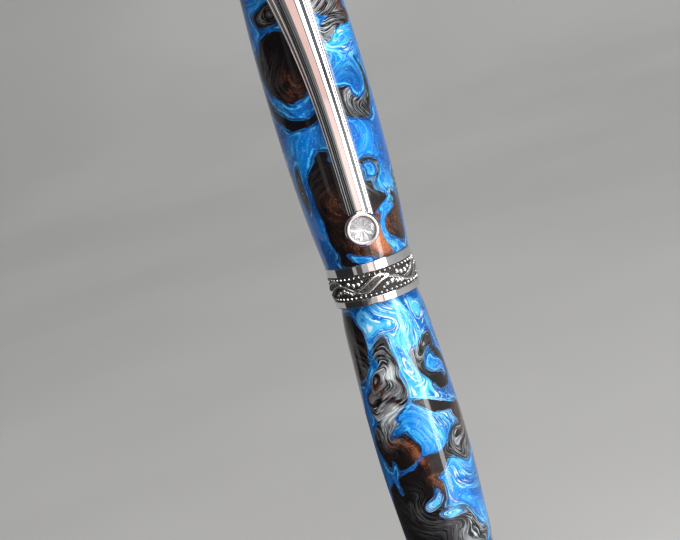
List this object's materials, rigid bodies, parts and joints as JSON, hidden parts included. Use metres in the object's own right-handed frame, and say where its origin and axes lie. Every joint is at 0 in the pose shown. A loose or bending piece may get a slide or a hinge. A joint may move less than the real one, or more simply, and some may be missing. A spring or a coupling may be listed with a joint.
{
  "type": "glass dip pen",
  "caption": "Capped dip pen with swirled resin barrel and cap, sprung clip with a stone, relief centre band and a fluted glass nib under the screw cap.",
  "frame": {"origin": "centre of the flat end of the tail finial", "axes": "+Z along the pen's axis towards the cap's finial, -Y towards the clip"},
  "size_m": [0.017, 0.02, 0.1408],
  "materials": {
    "resin": "polished cast resin, blue with black, copper and silver swirls",
    "chrome": "mirror polished plating",
    "pewter": "polished high spots over blackened recesses",
    "brass": "plain drawn tube",
    "black_resin": "polished",
    "black_plastic": "moulded, satin",
    "rubber": "matt",
    "nib_glass": "clear, fire polished",
    "crystal": "clear, faceted, foiled back"
  },
  "bodies": {
    "barrel": {"barrel_sleeve": "resin", "barrel_tube": "brass", "barrel_coupler": "chrome", "tail_coupler": "brass", "tail_trim_ring": "black_resin", "tail_finial": "chrome"},
    "section_core": {"nib_collet": "brass"},
    "section": {"grip_section": "black_resin", "grip_ring": "chrome", "o_ring_front": "rubber", "o_ring_rear": "rubber", "glass_nib": "nib_glass"},
    "cap_core": {"inner_cap": "black_plastic"},
    "cap_slider": {"cap_tube": "brass"},
    "cap": {"cap_sleeve": "resin", "band_coupler": "chrome", "band_relief": "pewter", "band_upper_ring": "chrome", "cap_thread_insert": "brass", "cap_coupler": "brass", "clip_ring": "chrome", "cap_finial": "chrome", "finial_inlay": "black_resin"},
    "clip": {"clip_arm": "chrome", "crystal": "crystal"}
  },
  "joints": [
    {"name": "section_lead", "type": "slide", "parent": "barrel", "child": "section_core", "axis": [0, 0, 1], "range_m": [0, 0.004]},
    {"name": "section_turn", "type": "hinge", "parent": "section_core", "child": "section", "pos_m": [0, 0, 0.0801], "axis": [0, 0, 1], "range_deg": [0, 1440]},
    {"name": "cap_pull", "type": "slide", "parent": "barrel", "child": "cap_core", "axis": [0, 0, 1], "range_m": [0, 0.055]},
    {"name": "cap_lead", "type": "slide", "parent": "cap_core", "child": "cap_slider", "axis": [0, 0, 1], "range_m": [0, 0.0036]},
    {"name": "cap_turn", "type": "hinge", "parent": "cap_slider", "child": "cap", "pos_m": [0, 0, 0.071], "axis": [0, 0, 1], "range_deg": [0, 540]},
    {"name": "clip_flex", "type": "hinge", "parent": "cap", "child": "clip", "pos_m": [0, -0.0086, 0.1316], "axis": [-1, 0, 0], "range_deg": [0, 5], "stiffness_Nm_per_rad": 3, "springref_deg": -0.57}
  ],
  "couplings": [
    {"joint": "section_turn", "follows": "section_lead", "rad_per_m": 6283.2},
    {"joint": "cap_turn", "follows": "cap_lead", "rad_per_m": 2618}
  ]
}
